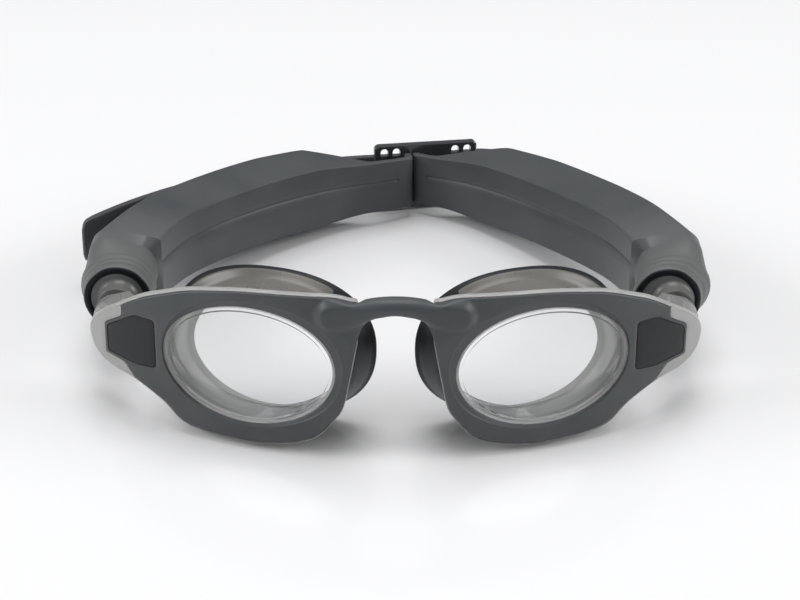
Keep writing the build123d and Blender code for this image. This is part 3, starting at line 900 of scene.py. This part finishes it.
# ---- strap ----------------------------------------------------------------------------------
def rounded_section(corners, radii, arc=7, run=7):
    """Even points round a section with rounded corners, starting on the first side."""
    loop = []
    for i, c in enumerate(corners):
        a, b = corners[i - 1], corners[(i + 1) % len(corners)]
        to_a, to_b = (a - c).normalized(), (b - c).normalized()
        half = to_a.angle(to_b) / 2
        cut = radii[i] / np.tan(half)
        start, end = c + to_a * cut, c + to_b * cut
        centre = c + (to_a + to_b).normalized() * radii[i] / sin(half)
        for k in range(arc):
            t = k / (arc - 1)
            chord = start.lerp(end, t) - centre
            if radii[i] > 0.01:
                chord = slerp(start - centre, end - centre, t)
            loop.append(centre + chord)
        nxt = corners[(i + 1) % len(corners)]
        after = corners[(i + 2) % len(corners)]
        to_c, to_n = (c - nxt).normalized(), (after - nxt).normalized()
        cut_next = radii[(i + 1) % len(corners)] / np.tan(to_c.angle(to_n) / 2)
        goal = nxt + to_c * cut_next
        for k in range(1, run):
            loop.append(end.lerp(goal, k / run))
    return loop


def slerp(a, b, t):
    angle = a.angle(b)
    if angle < 1e-6:
        return a.lerp(b, t)
    return (a * sin((1 - t) * angle) + b * sin(t * angle)) / sin(angle)


def buckle_point(along, ahead):
    """Point in plan, by its place along the buckle and ahead of its mid plane."""
    yaw = bpy.context.scene.goggles_strap.buckle_yaw
    centre = Vector((STRAP.buckle_x, STRAP.buckle_y))
    return centre + Vector((cos(yaw), sin(yaw))) * along + Vector((sin(yaw), -cos(yaw))) * ahead


def knee(side):
    """Where a strap turns back into the buckle, in plan."""
    ahead = (STRAP.buckle_skin + STRAP.end_depth) / 2 + BUCKLE_STANDOFF[side]
    return buckle_point(thread_place(side), ahead)


def thread_place(side):
    """Where a strap end crosses the buckle."""
    return THREAD_MIDDLE + SIDES[side] * THREAD_APART


def strap_path(side):
    """Inner face of one strap in plan, on the +X side, temple to buckle."""
    start = Vector((STRAP.inner_x, STRAP.band_start))
    corner = Vector((SIDES[side] * knee(side).x, knee(side).y))
    end = corner + Vector((cos(CLOSING), -sin(CLOSING))) * 4.0
    end -= Vector((sin(CLOSING), cos(CLOSING))) * STRAP.end_depth / 2
    run = end - start
    via = [Vector((start.x + fx * run.x, start.y + fy * run.y)) for fx, fy in STRAP_VIA[side]]
    lead = start - Vector((0, LEAD))
    beyond = end + Vector((-cos(CLOSING), sin(CLOSING))) * LEAD
    path = curve_through([lead, start, *via, end, beyond], 14)[14:-14]
    return evenly([p.to_3d() for p in path], 1.1, closed=False)


def band_section(thick, tall, rise, corner):
    """Section of the padded strap with the line pressed into its inner face."""
    low, high = -tall / 2, tall / 2
    limit = thick / 2 - 0.05
    corners = [Vector(c) for c in ((0, low), (thick, low), (thick, high + rise), (0, high))]
    crease = min(limit, max(0.45, corner * 0.3))
    loop = rounded_section(corners, [min(corner * 0.6, limit), min(corner, limit),
                                     min(corner * 0.8, limit), crease])
    side_run = len(loop) - len(loop) // 4 + 7
    marks = (0.15, 0.29, 0.36, 0.40, 0.44, 0.6, 0.8)
    groove = (0.0, 0.0, 0.0, 0.4, 0.0, 0.0, 0.0)
    for k in range(len(loop) - side_run):
        top, bottom = high - crease, low + corners[0].x + min(corner * 0.6, limit)
        place = loop[side_run + k]
        place.y = top + (bottom - top) * marks[k]
        place.x = min(groove[k], thick / 4)
    return loop


def mouth_place(side):
    """Middle of a hood's mouth beside the middle; the right hood is pushed further on."""
    return STRAP.stud_x + MOUTH_SHIFT[side]


def strap_rows(side):
    """Rings of the strap from the hood's mouth to its flat end, on the +X side."""
    radius = STRAP.hood_radius
    cz = STRAP.stud_z
    front = STRAP.hood_front
    height, end_height = STRAP.height, STRAP.end_height
    stations = np.array(STRAP_STATIONS[side])
    path = strap_path(side)
    marks = run_marks(path)

    def band_row(i):
        u = marks[i] / marks[-1]
        thick, rise, corner = (np.interp(u, stations[:, 0], stations[:, k]) for k in (1, 2, 3))
        flat = stations[-2, 0]
        tall = height + (end_height - height) * smooth_step(u, flat - 0.2, flat)
        ahead = (path[min(i + 1, len(path) - 1)] - path[max(i - 1, 0)]).normalized()
        out = Vector((ahead.y, -ahead.x, 0))
        barrel = 2.0 * (1 - smooth_step(u, 0.04, 0.15))
        section = band_section(thick, tall, rise, corner)
        for q in section:
            q.x += barrel * smooth_step(q.x, 0.6 * thick, thick) * max(0.0, 1 - (q.y / 10) ** 2)
        return [path[i] + out * q.x + UP * (q.y + cz) for q in section]

    band = [band_row(i) for i in range(len(path))]
    band = [row for row, p in zip(band, path) if p.y > front + 17.2]
    first = band[0]
    rows = []
    bell = ((-1.5, -0.55), (-1.3, -0.2), (-0.8, -0.02), (1.6, 0.05), (1.9, -0.2), (2.3, -0.22),
            (2.7, 0.0), (4.5, 0.0), (4.9, -0.25), (5.3, -0.27), (5.8, -0.05), (7.5, -0.1),
            (8.0, -0.4), (8.6, -0.45), (9.8, -0.5), (11.5, -0.55), (13.5, -0.6), (15.2, -0.6),
            (16.4, -0.6))
    for y, grow in bell:
        r = radius + grow
        cx = mouth_place(side)
        cx += (STRAP.stud_x - cx) * smooth_step(y, 0, 8)
        swell = STRAP.swell * smooth_step(y, -1.5, 9.0)
        row = []
        for p in first:
            flat = Vector((p.x - cx, 0, p.z - cz))
            round_place = Vector((cx, front + y, cz)) + flat.normalized() * r
            round_place.x += swell * max(0.0, flat.normalized().x)
            outer = smooth_step(flat.x, -4.0, 4.0)
            share = outer * smooth_step(y, 5.0, 15.5) + (1 - outer) * 0.12 * smooth_step(y, 9, 17)
            row.append(round_place.lerp(Vector((p.x, front + y, p.z)), share))
        rows.append(row)
    return rows + band


def make_strap(side):
    """Hood and padded band in one silicone moulding."""
    rows = [mirrored(row, side) for row in strap_rows(side)]
    return tube(f"strap_band_{side}", rows, angle=radians(42))


def filleted(points, radius, arc=7):
    """A run of plan points with its corners rounded."""
    run = [points[0]]
    for a, c, b in zip(points, points[1:], points[2:]):
        to_a, to_b = (a - c).normalized(), (b - c).normalized()
        half = to_a.angle(to_b) / 2
        if half > 1.5:
            run.append(c)
            continue
        cut_back = min(radius / np.tan(half), (a - c).length * 0.45, (b - c).length * 0.45)
        start, end = c + to_a * cut_back, c + to_b * cut_back
        for k in range(arc):
            t = k / (arc - 1)
            run.append(start * (1 - t) ** 2 + c * 2 * t * (1 - t) + end * t * t)
    return run + [points[-1]]


def tail_run(side):
    """Middle of a free end in plan: it leaves the buckle and bends towards the temple."""
    sign = SIDES[side]
    clear_of = (STRAP.buckle_skin + STRAP.end_depth) / 2 + TAIL_STANDOFF
    start = buckle_point(sign * (STRAP.buckle_width / 2 + 1.5), -clear_of - 0.4)
    angle = radians(TAIL_ANGLE[side])
    reach = TAIL_REACH[side]
    radius = STRAP.tail_radius
    centre = start + Vector((-sign * sin(angle), -cos(angle))) * radius
    first = pi / 2 - sign * angle
    count = max(6, round(reach / 1.5))
    arc = []
    for k in range(count + 1):
        turn = first - sign * reach / radius * k / count
        arc.append(centre + Vector((cos(turn), sin(turn))) * radius)
    return arc


def make_strap_end(side):
    """Flat end: turns back through the buckle, narrows and runs out as the free end."""
    sign = SIDES[side]
    depth = STRAP.end_depth
    clear_of = (STRAP.buckle_skin + depth) / 2 + TAIL_STANDOFF
    corner = knee(side)
    enter = corner + Vector((sign * cos(CLOSING), -sin(CLOSING))) * 4.05
    arc = tail_run(side)
    line = filleted([enter, corner, buckle_point(thread_place(side), -clear_of), arc[0]],
                    depth / 2 + 0.15)
    line = evenly([p.to_3d() for p in line + arc[1:]], 0.6, closed=False)
    marks = run_marks(line)
    centre = buckle_point(0, 0)
    facing = buckle_point(0, 1) - centre
    rows = []
    passed = False
    for i, p in enumerate(line):
        ahead = (line[min(i + 1, len(line) - 1)] - line[max(i - 1, 0)]).normalized()
        out = Vector((ahead.y, -ahead.x, 0))
        passed = passed or (p.to_2d() - centre).dot(facing) < STRAP.buckle_skin / 2 + 0.35
        tall, level = STRAP.end_height, STRAP.stud_z
        if passed:
            tall, level = STRAP.tail_height, STRAP.tail_level
        tip = STRAP.tail_tip
        left_over = min(tip, marks[-1] - marks[i])
        tall -= 2 * (tip - sqrt(tip ** 2 - (tip - left_over) ** 2))
        tall = max(tall, 1.0)
        thin = min(depth, 0.9 + 0.25 * (marks[-1] - marks[i])) / 2
        corners = [Vector(c) for c in ((-thin, -tall / 2), (thin, -tall / 2),
                                       (thin, tall / 2), (-thin, tall / 2))]
        section = rounded_section(corners, [min(0.4, tall / 3)] * 4, arc=4, run=5)
        rows.append([p + out * q.x + UP * (q.y + level) for q in section])
    thing = tube(f"strap_end_{side}", rows, angle=radians(40))
    place = standing()
    start, end = (place @ Vector((x, STRAP.buckle_y, STRAP.stud_z))
                  for x in BLEND_ENDS[side])
    return thing, start, end


def make_mouth_shade(side):
    """Near-black ring in the mouth of the hood: painted shade on the hood's front end face and
    bore.
    """
    front = STRAP.hood_front - 1.5
    profile = [(9.1, front + 0.6), (9.1, front - 0.15), (8.9, front - 0.4),
               (8.2, front - 0.45), (7.3, front - 0.1), (6.85, front + 0.5),
               (6.85, front + 1.4), (8.4, front + 1.4)]
    centre = (mouth_place(side) * SIDES[side], STRAP.stud_z)
    return turned(f"hood_ring_{side}", profile, centre)


# ---- operators ------------------------------------------------------------------------------
class GOGGLES_OT_front(Operator):
    """Models the soft frame and the temple inlays and finishes the clear eyecups and studs"""
    bl_idname = "goggles.front"
    bl_label = "Front"

    def execute(self, context):
        rubber = moulded("Frame elastomer", (0.058, 0.064, 0.068), (0.080, 0.087, 0.092),
                         (0.40, 0.50), 0.22)
        plate = moulded("Inlay", (0.020, 0.021, 0.024), (0.028, 0.029, 0.033), (0.4, 0.5), 0.2,
                        specular=0.25)
        glass = clear("Clear polycarbonate", (0.97, 0.975, 0.98), (0.0, 0.02))
        frosted = clear("Frosted polycarbonate", (0.76, 0.76, 0.75), (0.25, 0.4), 0.6)
        smoky = clear("Smoky polycarbonate", (0.34, 0.34, 0.335), (0.2, 0.3), 0.45)
        knob = moulded("Stud", (0.12, 0.12, 0.118), (0.17, 0.17, 0.167), (0.22, 0.34), 0.1)
        finish_piece(make_frame(), rubber, "frame", "eyepieces", "frame_overmould")
        for side in SIDES:
            finish_piece(make_inlay(side), plate, "inlay", "eyepieces", f"temple_inlay_{side}")
            make_eyecup(side, glass, frosted, smoky)
            finish_piece(make_lip(side), frosted, "lens", "eyepieces", f"lens_{side}")
            finish_piece(make_rim(side), frosted, "lens", "eyepieces", f"lens_{side}")
            finish_piece(make_knob(side), knob, "stud", "eyepieces", f"temple_stud_{side}")
        return {"FINISHED"}


class GOGGLES_OT_seals(Operator):
    """Models the two face seals with their grey sleeves and pale linings"""
    bl_idname = "goggles.seals"
    bl_label = "Face seals"

    def execute(self, context):
        silicone = moulded("Seal silicone", (0.011, 0.013, 0.016), (0.017, 0.020, 0.023),
                           (0.34, 0.46), 0.1, specular=0.22)
        pale = moulded("Cup lining", (0.58, 0.58, 0.57), (0.66, 0.66, 0.65), (0.3, 0.4), 0.05)
        grey = moulded("Sleeve silicone", (0.13, 0.125, 0.117), (0.18, 0.173, 0.16),
                       (0.2, 0.35), 0.1)
        for side in SIDES:
            finish_piece(make_seal(side), silicone, "gasket", "eyepieces", f"gasket_{side}")
            finish_piece(make_lining(side), pale, "gasket", "eyepieces", f"gasket_{side}")
            finish_piece(make_sleeve(side), grey, "gasket", "eyepieces", f"gasket_{side}")
        return {"FINISHED"}


class GOGGLES_OT_strap(Operator):
    """Models the straps with their hoods, the near-black painted shade rings in the hoods'
    mouths, and their ends
    """
    bl_idname = "goggles.strap"
    bl_label = "Strap"

    def execute(self, context):
        silicone = moulded("Strap silicone", (0.050, 0.055, 0.059), (0.068, 0.073, 0.077),
                           (0.38, 0.5), 0.18)
        # Strap and hood take painted light: paler towards the hood and darker towards the buckle,
        # as if lit more strongly at the front.
        painted_light_silicone = moulded("Strap silicone, painted light", (0.048, 0.053, 0.057),
                          (0.064, 0.069, 0.073), (0.38, 0.5), 0.18, painted_light=(0.125, 0.127, 0.127))
        # Near-black ring material: painted shade in the hood's mouth.
        dark = moulded("Hood mouth, painted shade", (0.006, 0.007, 0.009), (0.010, 0.011, 0.014), (0.25, 0.35), 0.1,
                       specular=0.25)
        gloss = moulded("Buckle", (0.026, 0.028, 0.032), (0.036, 0.039, 0.044), (0.12, 0.2),
                        0.03, coat=0.4)
        for side in SIDES:
            finish_piece(make_strap(side), painted_light_silicone, "strap", "strap", f"strap_{side}")
            finish_piece(make_mouth_shade(side), dark, "collar", "strap", f"hood_collar_{side}")
            end, start, stop = make_strap_end(side)
            finish_piece(end, silicone, "strap", None, f"strap_fold_{side}",
                         f"strap_tail_{side}")
            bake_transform(end)
        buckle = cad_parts["rear_buckle"]
        buckle.data.materials.clear()
        buckle.data.materials.append(gloss)
        return {"FINISHED"}


class GOGGLES_OT_stage(Operator):
    """Builds the floor, backdrop, lights and camera"""
    bl_idname = "goggles.stage"
    bl_label = "Stage"

    def execute(self, context):
        paper = bpy.data.materials.new("Pale floor")
        paper.use_nodes = True
        shader = paper.node_tree.nodes["Principled BSDF"]
        shader.inputs["Base Color"].default_value = (0.86, 0.86, 0.87, 1)
        shader.inputs["Roughness"].default_value = 0.12
        bpy.ops.mesh.primitive_grid_add(size=3.0)
        floor = context.object
        floor.name = "floor"
        floor.data.materials.append(paper)
        world = bpy.data.worlds.new("Studio")
        world.use_nodes = True
        tree = world.node_tree
        backdrop = tree.nodes["Background"]
        backdrop.inputs["Strength"].default_value = 0.55
        place = tree.nodes.new("ShaderNodeTexCoord")
        split = tree.nodes.new("ShaderNodeSeparateXYZ")
        ramp = tree.nodes.new("ShaderNodeValToRGB")
        ramp.color_ramp.elements[0].position = 0.05
        ramp.color_ramp.elements[0].color = (0.16, 0.165, 0.17, 1)
        ramp.color_ramp.elements[1].position = 0.75
        ramp.color_ramp.elements[1].color = (1, 1, 1, 1)
        tree.links.new(place.outputs["Generated"], split.inputs["Vector"])
        tree.links.new(split.outputs["Z"], ramp.inputs["Fac"])
        rays = tree.nodes.new("ShaderNodeLightPath")
        seen = tree.nodes.new("ShaderNodeMath")
        seen.operation = "MAXIMUM"
        shown = tree.nodes.new("ShaderNodeMix")
        shown.data_type = "RGBA"
        shown.inputs[7].default_value = (1.8, 1.8, 1.8, 1)
        tree.links.new(rays.outputs["Is Camera Ray"], seen.inputs[0])
        tree.links.new(rays.outputs["Is Transmission Ray"], seen.inputs[1])
        tree.links.new(seen.outputs["Value"], shown.inputs[0])
        tree.links.new(ramp.outputs["Color"], shown.inputs[6])
        tree.links.new(shown.outputs[2], backdrop.inputs["Color"])
        context.scene.world = world
        for name, place, size, power in (("key", (-1.5, -0.25, 0.8), 0.9, 12.5),
                                         ("fill", (1.55, -0.2, 0.75), 0.9, 12.5),
                                         ("top", (0.0, 0.3, 1.5), 1.1, 10.5)):
            lamp = bpy.data.lights.new(name, "AREA")
            lamp.shape = "DISK"
            lamp.size = size
            lamp.energy = power
            thing = bpy.data.objects.new(name, lamp)
            thing.location = place
            thing.rotation_euler = (-Vector(place)).to_track_quat("-Z", "Y").to_euler()
            context.scene.collection.objects.link(thing)
        camera_data = bpy.data.cameras.new("camera")
        camera_data.sensor_width = 36.0
        camera_data.lens = context.scene.goggles_scene.lens
        camera = bpy.data.objects.new("camera", camera_data)
        sizes = context.scene.goggles_scene
        place = standing()
        camera.location = place @ CAMERA_PLACE
        turn = (Matrix.Rotation(sizes.yaw, 3, "Z") @ Matrix.Rotation(pi / 2 - sizes.pitch, 3, "X")
                @ Matrix.Rotation(sizes.roll, 3, "Z"))
        camera.rotation_euler = (place.to_3x3().normalized() @ turn).to_euler()
        context.scene.collection.objects.link(camera)
        context.scene.camera = camera
        context.scene.view_settings.view_transform = "Standard"
        return {"FINISHED"}


class GOGGLES_PT_panel(Panel):
    """Sizes and operators of the goggles"""
    bl_idname = "GOGGLES_PT_panel"
    bl_label = "Goggles"
    bl_space_type = "VIEW_3D"
    bl_region_type = "UI"
    bl_category = "Goggles"

    def draw(self, context):
        for group in GROUPS:
            for key in GROUPS[group].__annotations__:
                self.layout.prop(getattr(context.scene, group), key)
        for operator in OPERATORS:
            self.layout.operator(operator.bl_idname)


GROUPS = {"goggles_front": GogglesFrontSizes, "goggles_strap": GogglesStrapSizes,
          "goggles_scene": GogglesSceneSizes}
OPERATORS = (GOGGLES_OT_front, GOGGLES_OT_seals, GOGGLES_OT_strap, GOGGLES_OT_stage)
CLASSES = (*GROUPS.values(), *OPERATORS, GOGGLES_PT_panel)


def register():
    for cls in CLASSES:
        bpy.utils.register_class(cls)
    for name, group in GROUPS.items():
        setattr(bpy.types.Scene, name, PointerProperty(type=group))


def unregister():
    for name in GROUPS:
        delattr(bpy.types.Scene, name)
    for cls in reversed(CLASSES):
        bpy.utils.unregister_class(cls)


def main():
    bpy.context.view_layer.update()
    register()
    bpy.ops.goggles.front()
    bpy.ops.goggles.seals()
    bpy.ops.goggles.strap()
    bpy.ops.goggles.stage()


if __name__ == "__main__":
    main()
